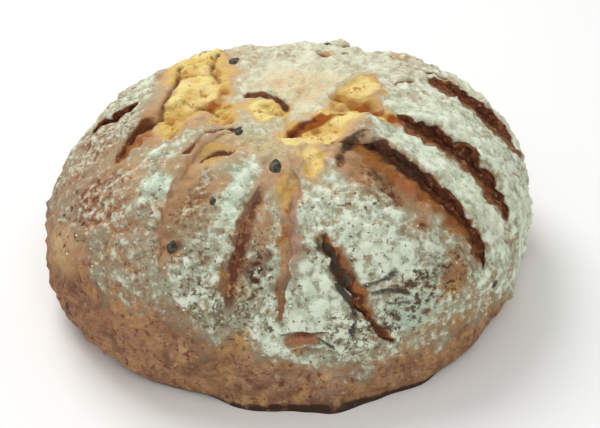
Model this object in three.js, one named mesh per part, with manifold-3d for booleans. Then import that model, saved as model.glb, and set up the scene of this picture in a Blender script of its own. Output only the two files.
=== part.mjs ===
// Round pumpkin bread loaf, scored in a sunburst and torn open at the crown.
// Millimetres, +Z up, resting on z = 0, with its front towards -Y.
// Bearings are degrees anticlockwise from +X, seen from above. A reach is measured along
// the crust from the crown, as a tape laid over the loaf would measure it.
import * as THREE from "three";
import { mergeVertices } from "three/addons/utils/BufferGeometryUtils.js";
import Module from "manifold-3d";

const { clamp, degToRad, euclideanModulo, lerp, smoothstep } = THREE.MathUtils;

// The risen loaf, before scoring
const width = 217;
const depth = 202;
const height = 94;
const girthHeight = 24;
const baseShare = 0.925; // the base's radius against the girth's
const crownFullness = 2.6; // 2 is a round dome, higher is flatter on top
const shoulderFullness = 2.1;
const footFullness = 2.2;

// Slow swellings of the outline from shaping by hand, as shares of the radius
const girthLobes = [
  { lobes: 2, swell: 0.045, bearing: 27 },
  { lobes: 4, swell: 0.022, bearing: 38 },
];
const baseLobes = [
  { lobes: 2, swell: 0.037, bearing: 90 },
  { lobes: 3, swell: 0.036, bearing: 39 },
  { lobes: 7, swell: 0.006, bearing: 12 },
  { lobes: 17, swell: 0.005, bearing: 5 },
];

// Blade cuts in order of bearing. Each starts at its root bearing on the crown, runs out from
// its own bearing and swings away from it, early where its bend is below 1. It opens in the oven,
// widest at its peak, and lifts a lip on one side: 1 is the anticlockwise side, -1 the other.
const slashNames = [
  "root", "bearing", "swing", "bend", "from", "to", "width", "peak", "depth", "lip", "lipSide",
];
const slashes = [
  [22, 22, -13, 1, 63, 110, 24, 0.6, 5, 1, 1],
  [62, 60, 7, 1, 56, 112, 15, 0.4, 6, 2, 1],
  [94, 96, -4, 0.7, 64, 118, 11, 0.55, 5, 2, -1],
  [128, 126, 9, 0.6, 66, 116, 13, 0.4, 6, 2.5, -1],
  [170, 171, 1, 1, 68, 95, 8, 0.5, 5, 2, -1],
  [194, 195, 10, 2.5, 49, 76, 15, 0.5, 4.5, 2.5, -1],
  [232, 233, 6, 1, 36, 106, 14, 0.3, 2, 1, -1],
  [258, 260, -6, 0.7, 62, 122, 6, 0.5, 2, 1, -1],
  [270, 269.5, -2.5, 1, 54, 122, 6, 0.4, 2, 0.8, 1],
  [288, 280, 14, 1, 84, 138, 9, 0.35, 5, 1, -1],
  [304, 292, 28.5, 0.3, 41, 120, 20, 0.3, 7, 4, 1],
  [345, 344.5, -6.5, 0.45, 46, 113, 15, 0.45, 7, 4, 1],
].map((row) => Object.fromEntries(slashNames.map((name, i) => [name, row[i]])));
const wallSkew = 0.75; // how much steeper a cut's wall is under its lip
const lipOffset = 3.5; // from a cut's edge to the top of its lip
const lipSpread = 4.5;

// Between the cuts the crust rises like a pillow
const puffHeight = 3.5;
const puffReach = 13;
const puffRise = { from: 12, to: 53 };
const puffFall = { from: 105, to: 143 };
const puffDepth = 6; // a shallower cut holds the puff down less

// Patches where the crust tore open, from the back left round the front of the crown.
// The first ones are a lump of crumb that rose out of the tear, and the rest lie lower than the crust.
const tears = [
  { bearing: 130, reach: 60, radius: 7, rise: 3 },
  { bearing: 141, reach: 53, radius: 11, rise: 3.5 },
  { bearing: 150, reach: 45, radius: 10, rise: 3 },
  { bearing: 170, reach: 40, radius: 10, rise: 2.5 },
  { bearing: 184, reach: 45, radius: 8, rise: 1.5 },
  { bearing: 197, reach: 50, radius: 7, rise: 0 },
  { bearing: 202, reach: 31, radius: 8, rise: -0.5 },
  { bearing: 202, reach: 15, radius: 6, rise: -1.5 },
  { bearing: 226, reach: 14, radius: 7, rise: -2 },
  { bearing: 276, reach: 30, radius: 7, rise: -2 },
  { bearing: 295, reach: 29, radius: 8, rise: -2 },
  { bearing: 316, reach: 26, radius: 8, rise: -2 },
  { bearing: 336, reach: 24, radius: 7, rise: -2 },
  { bearing: 350, reach: 31, radius: 7, rise: -1.5 },
  { bearing: 340, reach: 42, radius: 5, rise: -1 },
  { bearing: 12, reach: 28, radius: 9, rise: -1 },
  { bearing: 280, reach: 48, radius: 5, rise: -1 },
];
const tearEdge = 0.25; // softness of a tear's edge, as a share of its radius
const crumbLump = 3; // height of the lumps of open crumb
const crumbSpacing = 15; // from one lump to the next

// Lumps stand on a grid that leans with height and is bent by slower waves
const lumpLean = 0.5;
const lumpBend = { x: 0.6, y: 0.7 }; // the slower waves' pace against the lumps'

// The crust's slow unevenness all over
const waver = 1.2;
const waverSpacing = 46;
const settleHeight = 10; // below this the crust flattens out on its base

// Pumpkin seeds half sunk in the crust, each turned about the crust's outward direction
const seed = { length: 8, width: 5, thickness: 4, taper: 0.3, sunk: 1.2, rounds: 8, rings: 5 };
const seeds = [
  { bearing: 245, reach: 72, turn: 80 },
  { bearing: 239, reach: 93, turn: 20 },
  { bearing: 232, reach: 32, turn: 60 },
  { bearing: 263, reach: 52, turn: 85 },
  { bearing: 143, reach: 68, turn: 10 },
  { bearing: 124, reach: 46, turn: 50 },
  { bearing: 206, reach: 94, turn: 35 },
  { bearing: 212, reach: 146, turn: 90 },
  { bearing: 326, reach: 132, turn: 70 },
  { bearing: 45, reach: 92, turn: 25 },
  { bearing: 76, reach: 62, turn: 80 },
  { bearing: 108, reach: 118, turn: 45 },
  { bearing: 160, reach: 114, turn: 15 },
  { bearing: 14, reach: 140, turn: 65 },
];

// Facets run in columns from the crown down, which follow the cuts and crowd beside them,
// and in rows round the loaf, close where the crust is scored and wide below and under it.
const columnBearing = 3.5;
const fewestColumns = 6; // from one cut to the next
const crowding = 0.5;
const rowCount = 48;
const rowCloseness = { crown: 0.6, scored: 1, side: 0.5, base: 0.04 };
const scoredFrom = 24;
const scoredTo = 124;
const meridianSteps = 240;
const normalStep = 1;
const weldDistance = 0.001; // corners closer than this are one corner

const fullTurn = 2 * Math.PI;
const wrapTurn = (angle) => angle - fullTurn * Math.round(angle / fullTurn);

// One section from the crown over the girth to the base's edge and on to the base's middle.
// spread is the share of the outline's radius, and tuck goes from the girth's outline to the base's.
function sampleMeridian() {
  const points = [];
  for (let i = 0; i <= meridianSteps; i++) {
    const turn = (i / meridianSteps) * (Math.PI / 2);
    const rise = Math.max(0, Math.cos(turn)) ** (2 / shoulderFullness);
    const spread = Math.sin(turn) ** (2 / crownFullness);
    points.push({ spread, tuck: 0, z: lerp(girthHeight, height, rise) });
  }
  for (let i = 1; i <= meridianSteps; i++) {
    const turn = (i / meridianSteps) * (Math.PI / 2);
    const drop = Math.sin(turn) ** (2 / footFullness);
    const tuck = 1 - Math.max(0, Math.cos(turn)) ** (2 / footFullness);
    points.push({ spread: 1, tuck, z: girthHeight * (1 - drop) });
  }
  points[points.length - 1].tuck = 1;
  for (let i = 1; i <= meridianSteps; i++) {
    points.push({ spread: 1 - i / meridianSteps, tuck: 1, z: 0 });
  }
  return points;
}

// Adds each point's reach from the crown, and how many rows of facets lie above it
function measureMeridian(points) {
  const meanRadius = (width + depth) / 4;
  const radiusOf = (p) => meanRadius * p.spread * lerp(1, baseShare, p.tuck);
  points[0].reach = 0;
  points[0].rows = 0;
  for (let i = 1; i < points.length; i++) {
    const before = points[i - 1];
    const here = points[i];
    const step = Math.hypot(radiusOf(here) - radiusOf(before), here.z - before.z);
    here.reach = before.reach + step;
    let closeness = rowCloseness.scored;
    if (here.reach < scoredFrom) closeness = rowCloseness.crown;
    if (here.reach > scoredTo) closeness = rowCloseness.side;
    if (before.tuck === 1) closeness = rowCloseness.base;
    here.rows = before.rows + step * closeness;
  }
  return points;
}

const meridian = measureMeridian(sampleMeridian());
const meridianEnd = meridian[meridian.length - 1];
const crustReach = meridian[2 * meridianSteps].reach;

// The meridian's point at a value of one of its rising measures, reach or rows
function meridianAt(measure, value) {
  let low = 0;
  let high = meridian.length - 1;
  while (high - low > 1) {
    const middle = (low + high) >> 1;
    if (meridian[middle][measure] < value) low = middle;
    else high = middle;
  }
  const a = meridian[low];
  const b = meridian[high];
  const share = clamp((value - a[measure]) / (b[measure] - a[measure]), 0, 1);
  const mixed = (key) => lerp(a[key], b[key], share);
  return { spread: mixed("spread"), tuck: mixed("tuck"), z: mixed("z"), reach: mixed("reach") };
}

function swelling(lobes, bearing) {
  const wave = (l) => l.swell * Math.cos(l.lobes * (bearing - degToRad(l.bearing)));
  return lobes.reduce((sum, l) => sum + wave(l), 1);
}

// The loaf before scoring
function smoothAt(bearing, reach) {
  const point = meridianAt("reach", reach);
  const girth = swelling(girthLobes, bearing);
  const base = baseShare * swelling(baseLobes, bearing);
  const share = point.spread * lerp(girth, base, point.tuck);
  const x = (share * width * Math.cos(bearing)) / 2;
  const y = (share * depth * Math.sin(bearing)) / 2;
  return new THREE.Vector3(x, y, point.z);
}

// Outward direction of a surface given as a function of bearing and reach
function outwardOf(surface, bearing, reach, step) {
  const turn = (2 * step) / width;
  const down = surface(bearing, reach + step).sub(surface(bearing, Math.max(0, reach - step)));
  const round = surface(bearing + turn, reach).sub(surface(bearing - turn, reach));
  const outward = down.cross(round);
  return outward.lengthSq() > 0 ? outward.normalize() : new THREE.Vector3(0, 0, 1);
}

function slashLine(slash, reach) {
  const along = clamp((reach - slash.from) / (slash.to - slash.from), 0, 1);
  const inward = clamp(1 - reach / slash.from, 0, 1);
  const run = slash.bearing + slash.swing * along ** slash.bend;
  return degToRad(lerp(run, slash.root, inward));
}

// How open a cut is along its run: pointed at both ends, and 1 at its peak
function openAt(slash, along) {
  const halfwayAtPeak = Math.log(0.5) / Math.log(slash.peak);
  return Math.sqrt(Math.sin(Math.PI * along ** halfwayAtPeak));
}

// One cut at a place on the crust: how deep it is, how high its lip, how far it holds the puff down
function slashAt(slash, bearing, reach, radius) {
  const along = (reach - slash.from) / (slash.to - slash.from);
  if (along <= 0 || along >= 1) return { cut: 0, lip: 0, hold: 0 };
  const across = radius * wrapTurn(bearing - slashLine(slash, reach)) * slash.lipSide;
  const open = openAt(slash, along);
  const half = (slash.width / 2) * open;
  const side = clamp(across / half, -1, 1);
  const lipPlace = (across - half - lipOffset) / lipSpread;
  return {
    cut: slash.depth * open * (1 - side * side) * (1 + wallSkew * side),
    lip: slash.lip * open * Math.exp(-lipPlace * lipPlace),
    hold: open * Math.min(1, slash.depth / puffDepth) * Math.exp(-((across / puffReach) ** 2)),
  };
}

const tearCentres = tears.map((tear) => smoothAt(degToRad(tear.bearing), tear.reach));

// How far a place lies inside the torn crown, from 0 to 1, and how high the crumb has risen there
function tornAt(place) {
  let whole = 1;
  let weights = 0;
  let rises = 0;
  tears.forEach((tear, i) => {
    const away = Math.hypot(place.x - tearCentres[i].x, place.y - tearCentres[i].y);
    const inside = 1 - smoothstep(away / tear.radius, 1 - tearEdge, 1 + tearEdge);
    whole *= 1 - inside;
    weights += inside;
    rises += inside * tear.rise;
  });
  return { share: 1 - whole, rise: weights > 0 ? rises / weights : 0 };
}

// Lumps and hollows from -1 to 1
function lumpAt(place, spacing) {
  const step = fullTurn / spacing;
  const x = step * (place.x + lumpLean * place.z) + Math.sin(lumpBend.x * step * place.y);
  const y = step * (place.y - lumpLean * place.z) + Math.sin(lumpBend.y * step * place.x);
  return Math.sin(x) * Math.cos(y);
}

// How far the crust stands out from the smooth loaf, or in where it is negative
function reliefAt(place, bearing, reach) {
  const radius = Math.hypot(place.x, place.y);
  let cut = 0;
  let lip = 0;
  let pillow = 1;
  for (const slash of slashes) {
    const here = slashAt(slash, bearing, reach, radius);
    cut = Math.max(cut, here.cut);
    lip = Math.max(lip, here.lip);
    pillow *= 1 - here.hold;
  }
  const risen = smoothstep(reach, puffRise.from, puffRise.to);
  const fallen = smoothstep(reach, puffFall.from, puffFall.to);
  const crust = puffHeight * pillow * (risen - fallen) + lip - cut;
  const torn = tornAt(place);
  const crumb = torn.rise + crumbLump * lumpAt(place, crumbSpacing);
  return lerp(crust, crumb, torn.share) + waver * lumpAt(place, waverSpacing);
}

// The finished crust, which settles flat towards the base
function crustAt(bearing, reach) {
  const place = smoothAt(bearing, reach);
  if (reach >= crustReach) return place;
  const outward = outwardOf(smoothAt, bearing, reach, normalStep);
  const settled = smoothstep(place.z, 0, settleHeight);
  place.addScaledVector(outward, settled * reliefAt(place, bearing, reach));
  place.z = Math.max(0, place.z);
  return place;
}

// Each column belongs to the gap that starts at one cut, and has its share of that gap
function layColumns() {
  const columns = [];
  slashes.forEach((slash, i) => {
    const next = slashes[(i + 1) % slashes.length];
    const gap = euclideanModulo(next.bearing + next.swing - slash.bearing - slash.swing, 360);
    const count = Math.max(fewestColumns, Math.round(gap / columnBearing));
    for (let j = 0; j < count; j++) {
      const even = j / count;
      const share = even - (crowding * Math.sin(fullTurn * even)) / fullTurn;
      columns.push({ slash, next, share });
    }
  });
  return columns;
}

function columnAt(column, reach) {
  const from = slashLine(column.slash, reach);
  const gap = euclideanModulo(slashLine(column.next, reach) - from, fullTurn);
  return from + column.share * gap;
}

function makeCrust() {
  const columns = layColumns();
  const geometry = new THREE.SphereGeometry(1, columns.length, rowCount);
  const position = geometry.getAttribute("position");
  const uv = geometry.getAttribute("uv");
  for (let i = 0; i < position.count; i++) {
    const down = 1 - uv.getY(i);
    const reach = meridianAt("rows", down * meridianEnd.rows).reach;
    const column = columns[euclideanModulo(Math.round(uv.getX(i) * columns.length), columns.length)];
    const place = crustAt(columnAt(column, reach), reach);
    position.setXYZ(i, place.x, place.y, place.z);
  }
  return geometry;
}

// A flat seed lying on XY, narrower towards its tip at +Y
function makeSeed() {
  const geometry = new THREE.SphereGeometry(0.5, seed.rounds, seed.rings);
  const position = geometry.getAttribute("position");
  for (let i = 0; i < position.count; i++) {
    const narrowed = 1 - seed.taper * position.getY(i);
    position.setX(i, position.getX(i) * narrowed);
  }
  return geometry.scale(seed.width, seed.length, seed.thickness);
}

// One seed on the crust, sunk until only its upper side stands proud
function laySeed({ bearing, reach, turn }) {
  const outward = outwardOf(crustAt, degToRad(bearing), reach, seed.width / 2);
  const centre = crustAt(degToRad(bearing), reach);
  centre.addScaledVector(outward, -seed.sunk);
  const stand = new THREE.Quaternion().setFromUnitVectors(new THREE.Vector3(0, 0, 1), outward);
  const spin = new THREE.Quaternion().setFromAxisAngle(outward, degToRad(turn));
  const unscaled = new THREE.Vector3(1, 1, 1);
  return makeSeed().applyMatrix4(new THREE.Matrix4().compose(centre, spin.multiply(stand), unscaled));
}

function toSolid(wasm, geometry) {
  geometry.deleteAttribute("normal");
  geometry.deleteAttribute("uv");
  const merged = mergeVertices(geometry, weldDistance);
  const vertProperties = new Float32Array(merged.getAttribute("position").array);
  const triVerts = new Uint32Array(merged.index.array);
  return new wasm.Manifold(new wasm.Mesh({ numProp: 3, vertProperties, triVerts }));
}

function toGeometry(solid) {
  const mesh = solid.getMesh();
  const geometry = new THREE.BufferGeometry();
  geometry.setAttribute("position", new THREE.BufferAttribute(mesh.vertProperties, 3));
  geometry.setIndex(new THREE.BufferAttribute(mesh.triVerts, 1));
  geometry.computeVertexNormals();
  return geometry;
}

async function makeLoaf() {
  const wasm = await Module();
  wasm.setup();
  const withSeed = (solid, place) => solid.add(toSolid(wasm, laySeed(place)));
  const geometry = toGeometry(seeds.reduce(withSeed, toSolid(wasm, makeCrust())));
  geometry.computeBoundingBox();
  const middle = geometry.boundingBox.getCenter(new THREE.Vector3());
  return geometry.translate(-middle.x, -middle.y, 0);
}

const bakedCrust = new THREE.MeshStandardMaterial({ color: 0xa87a55, roughness: 0.85, metalness: 0 });
const loaf = new THREE.Mesh(await makeLoaf(), bakedCrust);
loaf.name = "loaf";

const part = new THREE.Group();
part.add(loaf);

export default part;
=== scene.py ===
import math

import bpy
import numpy as np
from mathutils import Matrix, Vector


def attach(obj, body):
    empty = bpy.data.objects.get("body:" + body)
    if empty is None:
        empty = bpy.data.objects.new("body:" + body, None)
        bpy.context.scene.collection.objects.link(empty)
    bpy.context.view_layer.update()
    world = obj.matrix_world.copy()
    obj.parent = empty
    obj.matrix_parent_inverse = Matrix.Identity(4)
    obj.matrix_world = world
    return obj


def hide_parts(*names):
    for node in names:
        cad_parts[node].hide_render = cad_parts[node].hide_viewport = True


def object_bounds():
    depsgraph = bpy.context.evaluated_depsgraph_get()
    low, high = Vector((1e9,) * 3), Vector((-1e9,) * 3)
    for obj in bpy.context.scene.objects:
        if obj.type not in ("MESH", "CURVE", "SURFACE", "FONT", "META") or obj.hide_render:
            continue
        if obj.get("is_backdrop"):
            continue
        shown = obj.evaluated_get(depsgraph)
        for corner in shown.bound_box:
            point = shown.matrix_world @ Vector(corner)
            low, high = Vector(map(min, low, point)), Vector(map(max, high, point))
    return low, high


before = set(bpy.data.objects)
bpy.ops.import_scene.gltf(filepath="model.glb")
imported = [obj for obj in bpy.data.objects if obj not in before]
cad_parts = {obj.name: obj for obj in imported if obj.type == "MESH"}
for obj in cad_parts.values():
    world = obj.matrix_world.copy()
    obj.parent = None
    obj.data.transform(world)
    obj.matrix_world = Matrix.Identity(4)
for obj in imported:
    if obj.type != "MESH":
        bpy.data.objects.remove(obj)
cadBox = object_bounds()
mm = 0.001
tiny = 1e-6  # keeps a division clear of zero


def linearColor(hexText):
    parts = [int(hexText[i:i + 2], 16) / 255 for i in (1, 3, 5)]
    return [c / 12.92 if c <= 0.04045 else ((c + 0.055) / 1.055) ** 2.4 for c in parts] + [1.0]


def smoothStep(x, low, high):
    t = np.clip((x - low) / np.maximum(high - low, tiny), 0, 1)
    return t * t * (3 - 2 * t)


def wrapTurn(angle):
    return (angle + np.pi) % (2 * np.pi) - np.pi


def addToScene(name, data):
    thing = bpy.data.objects.new(name, data)
    bpy.context.scene.collection.objects.link(thing)
    return thing


noiseSeeds = {  # one for each kind of unevenness
    "waver": 2, "lump": 3, "smallLump": 4, "tear": 5, "slash": 11, "stain": 12, "lip": 14, "foot": 16,
    "crack": 21, "blister": 31, "blisterGap": 32, "flourEdge": 41, "mottled": 51,
}


def softNoise(points, spacing, kind):  # smooth random heights from -1 to 1 between lattice points
    size = 32
    lattice = np.random.default_rng(noiseSeeds[kind]).uniform(-1, 1, (size, size, size))
    cell = np.asarray(points) / spacing
    low = np.floor(cell).astype(int)
    t = cell - low
    t = t * t * (3 - 2 * t)
    total = 0
    for corner in np.ndindex(2, 2, 2):
        weight = np.prod(np.where(np.array(corner) == 1, t, 1 - t), axis=-1)
        i, j, k = np.moveaxis((low + corner) % size, -1, 0)
        total = total + weight * lattice[i, j, k]
    return total


def layeredNoise(points, layers, kind):  # each layer has a size and a spacing
    return sum(size * softNoise(points, spacing, kind) for size, spacing in layers)


# Bearings are degrees anticlockwise from +X, seen from above. A reach is millimetres along the
# crust from the crown, as a tape laid over the loaf measures it. Both are as in the solid.
loafShape = {
    "width": 217, "depth": 202, "height": 94, "girthHeight": 24, "baseShare": 0.925,
    "crownFullness": 2.6, "shoulderFullness": 2.1, "footFullness": 2.2,
    "girthLobes": [(2, 0.045, 27), (4, 0.022, 38)],  # lobes, swell, bearing
    "baseLobes": [(2, 0.037, 90), (3, 0.036, 39), (7, 0.006, 12), (17, 0.005, 5)],
    # the crust puffs up between the cuts, and one of puffDepth holds it right down
    "puffHeight": 3.5, "puffReach": 13, "puffDepth": 6, "puffRise": (12, 53), "puffFall": (105, 143),
    "waver": 1.2, "waverSpacing": 30,
    "settleHeight": 10,  # below this the relief dies away to the ragged foot
    "footRagged": 1.5, "footSpacing": 9, "footStretch": (1, 1, 0.4), "leastRadius": 20,
}


def swelling(lobes, bearing):
    return 1 + sum(swell * np.cos(count * (bearing - math.radians(at))) for count, swell, at in lobes)


# One section from the crown over the girth to the base's edge
def makeMeridian(shape, steps=400):
    turn = np.linspace(0, np.pi / 2, steps)
    cosine = np.clip(np.cos(turn), 0, 1)
    rise = shape["height"] - shape["girthHeight"]
    spread = np.concatenate([np.sin(turn) ** (2 / shape["crownFullness"]), np.ones(steps - 1)])
    tuck = np.concatenate([np.zeros(steps), 1 - cosine[1:] ** (2 / shape["footFullness"])])
    upper = shape["girthHeight"] + rise * cosine ** (2 / shape["shoulderFullness"])
    lower = shape["girthHeight"] * (1 - np.sin(turn[1:]) ** (2 / shape["footFullness"]))
    height = np.concatenate([upper, lower])
    meanRadius = (shape["width"] + shape["depth"]) / 4
    radius = meanRadius * spread * (1 + tuck * (shape["baseShare"] - 1))
    reach = np.concatenate([[0], np.cumsum(np.hypot(np.diff(radius), np.diff(height)))])
    return {"spread": spread, "tuck": tuck, "height": height, "reach": reach, "end": reach[-1]}


meridian = makeMeridian(loafShape)


def smoothLoaf(bearing, reach):
    spread = np.interp(reach, meridian["reach"], meridian["spread"])
    tuck = np.interp(reach, meridian["reach"], meridian["tuck"])
    girth = swelling(loafShape["girthLobes"], bearing)
    base = loafShape["baseShare"] * swelling(loafShape["baseLobes"], bearing)
    share = spread * (girth + tuck * (base - girth)) / 2
    return np.stack([
        share * loafShape["width"] * np.cos(bearing),
        share * loafShape["depth"] * np.sin(bearing),
        np.interp(reach, meridian["reach"], meridian["height"]),
    ], axis=-1)


def outwardOf(surface, bearing, reach, step=1.0):
    down = surface(bearing, reach + step) - surface(bearing, np.maximum(reach - step, 0))
    turn = 2 * step / loafShape["width"]
    around = surface(bearing + turn, reach) - surface(bearing - turn, reach)
    outward = np.cross(down, around)
    length = np.linalg.norm(outward, axis=-1, keepdims=True)
    return np.where(length > tiny, outward / np.maximum(length, tiny), [0.0, 0.0, 1.0])


# Blade cuts in order of bearing. under is how far the opened side runs in under the lip. Of that side,
# bare is how little flour lies on it, brown and gold its colours, burn the share next to the lip that is
# painted dark, partly as burnt crust and partly as painted shade under the lip, char how black the lip's
# start is, and soft the share over which flour thins out.
slashNames = (
    "root bearing swing bend from to width peak depth lip lipSide under bare brown gold burn char soft"
).split()
slashCuts = [dict(zip(slashNames, row)) for row in [
    (22, 22, -14, 1, 59, 114, 26, 0.58, 4, 1, 1, 0, 1, 1, 0.4, 0.4, 0, 0.2),
    (62, 60, 7, 1, 56, 112, 15, 0.4, 5, 2, 1, 2, 1, 1, 0.5, 0.4, 0.2, 0.3),
    (94, 96, -4, 0.7, 64, 118, 10, 0.55, 4, 2, -1, 1, 0.9, 1, 0.8, 0.3, 0.1, 0.5),
    (128, 126, 9, 0.6, 66, 116, 13, 0.4, 5, 2.5, -1, 2, 1, 1, 0.6, 0.4, 0.3, 0.3),
    (170, 171, 1, 1, 68, 95, 7, 0.5, 4, 2, -1, 1, 1, 1, 0.3, 0.3, 0, 0.4),
    (194, 195, 10, 2.5, 49, 76, 15, 0.5, 3.5, 2.5, -1, 0, 1, 1, 1, 0.1, 0, 0.3),
    (232, 233, 6, 1, 36, 106, 14, 0.3, 2, 0.6, -1, 0, 0.45, 0.3, 0.3, 0, 0, 0.8),
    (258, 260, -6, 0.7, 62, 122, 5, 0.5, 1, 0.5, -1, 0, 0.3, 0.6, 0.3, 0.1, 0, 0.6),
    (270, 269.5, -2.5, 1, 54, 122, 4.5, 0.4, 1.4, 0.6, 1, 0, 0.9, 0.4, 0.9, 0, 0, 0.4),
    (288, 280, 14, 1, 84, 138, 9, 0.35, 4, 1, -1, 1, 1, 1, 0.8, 0.5, 0.9, 0.3),
    (304, 292, 28.5, 0.3, 41, 120, 18, 0.3, 5, 4, 1, 2, 1, 1, 0.9, 0.33, 0.55, 0.5),
    (345, 344.5, -6.5, 0.45, 46, 113, 15, 0.42, 4.5, 4, 1, 2, 1, 1, 0.5, 0.45, 0, 0.25),
]]
slashEdge = {
    "wallRun": 2.5, "faceCurve": 1.8, "browOut": 0.2, "lipTop": 2.2, "lipSpread": 5.5, "leanFade": 9,
    "fullDepth": 4, "lipVary": 0.35, "lipSpacing": 4.5,
    "ragged": [(1.0, 10), (0.5, 4)], "stain": [(2.2, 2.6), (2.6, 6)],  # size, spacing
    # colours come in from the low edge, go out at the brow, and are missing where the cut is hardly open
    "paintStart": (-0.6, 1), "paintEnd": (-0.5, 0.3), "endStain": 0.4, "paintOpen": (0.05, 0.3),
    # shares of the way to the wall; burnShadeStart and burnShadeGain place the band next to the lip that is
    # painted dark, partly burnt crust and partly painted shade
    "burnShadeStart": (0.8, 1.1), "burnShadeGain": 4, "goldEnd": (0.6, 1), "charStart": (0.4, 0.75),
    "charOver": 2.5, "charStain": 0.5, "charAlong": (0.3, 0.65),  # past the brow, and along the cut
}


def alongCut(slash, reach):  # 0 at its inner end and 1 at its outer end
    return np.clip((reach - slash["from"]) / (slash["to"] - slash["from"]), 0, 1)


def cutPath(slash, reach):  # where the unevenness along a cut is looked up
    return np.stack([reach, np.full_like(reach, slash["root"]), np.zeros_like(reach)], axis=-1)


def slashLine(slash, reach):
    run = slash["bearing"] + slash["swing"] * alongCut(slash, reach) ** slash["bend"]
    run = run + layeredNoise(cutPath(slash, reach), slashEdge["ragged"], "slash")
    inward = np.clip(1 - reach / slash["from"], 0, 1)
    return np.radians(run + (slash["root"] - run) * inward)


def openShare(slash, reach):  # 0 at a cut's pointed ends and 1 at its peak
    halfwayAtPeak = math.log(0.5) / math.log(slash["peak"])
    return np.sqrt(np.clip(np.sin(np.pi * alongCut(slash, reach) ** halfwayAtPeak), 0, 1))


# Distances from a cut's middle to its low edge, its wall's foot and its lip's brow, before the lip leans
def cutEdges(slash, isOpen):
    half = slash["width"] / 2 * isOpen
    foot = half + slash["under"] * isOpen
    return -half, foot, foot + slashEdge["wallRun"] * isOpen + slashEdge["browOut"]


def overhangOf(slash):  # a shallow cut hardly undercuts its lip
    return (slash["under"] + slashEdge["wallRun"]) * min(1, (slash["depth"] / slashEdge["fullDepth"]) ** 2)


# The form of a cut: its opened side dips to the foot of a wall, which leans out over it as a lip
def cutForm(slash, isOpen, across, reach):
    low, foot, brow = cutEdges(slash, isOpen)
    lipTop = brow + slashEdge["lipTop"]
    toFoot = np.clip((across - low) / np.maximum(foot - low, tiny), 0, 1)
    up = smoothStep(across, foot, brow)
    lipFall = np.exp(-((across - lipTop) / slashEdge["lipSpread"]) ** 2)
    lip = np.where(across < lipTop, smoothStep(across, foot, lipTop), lipFall)
    lean = np.where(across < brow, up, np.exp(-((across - brow) / slashEdge["leanFade"]) ** 2))
    vary = 1 + slashEdge["lipVary"] * softNoise(cutPath(slash, reach), slashEdge["lipSpacing"], "lip")
    hold = isOpen * min(1, slash["depth"] / loafShape["puffDepth"])
    return {
        "cut": slash["depth"] * isOpen * (toFoot ** slashEdge["faceCurve"] - up),
        "lip": slash["lip"] * isOpen * lip,
        "shift": -slash["lipSide"] * overhangOf(slash) * isOpen * vary * lean,
        "pillow": 1 - hold * np.exp(-(across / loafShape["puffReach"]) ** 2),
    }


# The colours of a cut, from 0 to 1. They stray from its edges by the stain.
def cutColours(slash, isOpen, across, reach, stain):
    low, foot, brow = cutEdges(slash, isOpen)
    stained = across + stain
    toWall = np.clip((stained - low) / np.maximum(foot - low, tiny), 0, 1)
    opened = smoothStep(isOpen, *slashEdge["paintOpen"])
    startFrom, startTo = slashEdge["paintStart"]
    endFrom, endTo = slashEdge["paintEnd"]
    started = smoothStep(stained, low + startFrom, low + startTo + (foot - low) * slash["soft"])
    ended = smoothStep(across + slashEdge["endStain"] * stain, brow + endFrom, brow + endTo)
    inside = started * (1 - ended) * opened
    # the band next to the lip is painted dark, partly burnt crust and partly painted shade under the lip
    burnShadeFrom, burnShadeTo = slashEdge["burnShadeStart"]
    burntShaded = smoothStep(toWall, burnShadeFrom - slash["burn"], burnShadeTo - slash["burn"])
    burntShaded = burntShaded * min(1, slashEdge["burnShadeGain"] * slash["burn"])
    overLip = smoothStep(across + slashEdge["charStain"] * stain, brow, brow + slashEdge["charOver"])
    charred = smoothStep(toWall, *slashEdge["charStart"]) * (1 - overLip)
    charred = charred * (1 - smoothStep(alongCut(slash, reach), *slashEdge["charAlong"]))
    return {
        "bare": inside * slash["bare"],
        "brown": inside * slash["brown"],
        "gold": inside * slash["gold"] * (1 - smoothStep(toWall, *slashEdge["goldEnd"])),
        "shade": inside * burntShaded,
        "char": slash["char"] * charred * opened,
    }


def openCuts(bearing, reach, place):
    radius = np.hypot(place[..., 0], place[..., 1])
    stain = layeredNoise(place, slashEdge["stain"], "stain")
    cuts = {"shift": 0.0, "pillow": 1.0}
    for slash in slashCuts:
        isOpen = openShare(slash, reach)
        across = radius * wrapTurn(bearing - slashLine(slash, reach)) * slash["lipSide"]
        one = cutForm(slash, isOpen, across, reach)
        cuts["shift"] = cuts["shift"] + one.pop("shift")
        cuts["pillow"] = cuts["pillow"] * one.pop("pillow")
        one.update(cutColours(slash, isOpen, across, reach, stain))
        for name, values in one.items():
            cuts[name] = np.maximum(cuts.get(name, 0.0), values)
    return cuts


# Patches torn open round the crown: bearing, reach, radius, rise of the crumb above the crust
crownTears = [
    (130, 60, 7, 3), (141, 53, 11, 3.5), (150, 45, 10, 3), (170, 40, 10, 2.5), (184, 45, 8, 1.5),
    (192, 50, 6, 0.5), (201, 50, 5.5, 0), (208, 30, 6, -1), (194, 31, 6, 0), (202, 15, 6, -1.5),
    (226, 14, 7, -2), (244, 12, 5, -1.5), (272, 31, 5.5, -1), (282, 29, 7, -1), (295, 29, 7.5, -1),
    (308, 27, 7.5, -1), (322, 24, 7, -1.5), (336, 24, 6.5, -1.5), (350, 31, 7, -1.5), (340, 42, 5, -1),
    (5, 24, 6, -1), (20, 31, 7, -0.5), (281, 45, 4.5, -1), (279, 53, 4, -0.8),
]
tearEdge = {
    "soft": 0.6, "ragged": [(0.45, 6), (0.25, 2.6)], "curl": 0.3,  # ragged: size, spacing
    "lump": 3.5, "lumpSpacing": 12.5, "smallLump": 0.5, "smallLumpFineness": 2.3,
    "fringe": 1.5,  # how far round a tear the stretched crust has lost its flour, against its radius
}


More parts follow.
